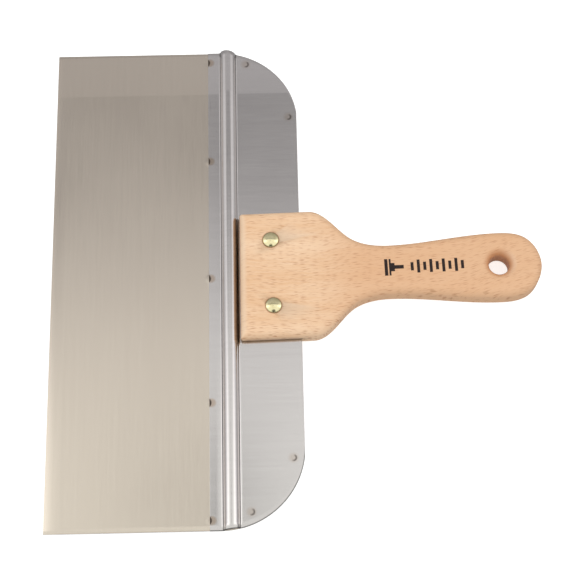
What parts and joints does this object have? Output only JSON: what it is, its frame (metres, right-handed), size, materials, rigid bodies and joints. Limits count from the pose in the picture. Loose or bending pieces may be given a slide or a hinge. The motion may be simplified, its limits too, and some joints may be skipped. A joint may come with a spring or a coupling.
{
  "type": "drywall taping knife",
  "caption": "Wide taping knife: flexible steel blade, stiffener plate with a half-round rib, riveted beech handle with a hanging hole.",
  "frame": {"origin": "bottom centre of the whole knife's box, lying on its back; Z = 0 is the crown of the back rivet heads", "axes": "+X from the working edge towards the end of the handle, +Y along the blade's width, +Z out of the face with the rib"},
  "size_m": [0.2896, 0.3004, 0.02],
  "materials": {
    "blade_steel": "satin cold-rolled spring stainless with a fine grain along the working edge",
    "plate_steel": "bright rolled stainless, fine scratches, brown heat tint round the spot welds",
    "beech": "sanded bare steamed beech with fine dark flecks along the grain",
    "rivet_brass": "polished pale brass"
  },
  "bodies": {
    "root": {"blade": "blade_steel", "stiffener_plate": "plate_steel", "handle": "beech", "rivet_sleeves": "rivet_brass", "rivet_pins": "rivet_brass"}
  },
  "joints": []
}
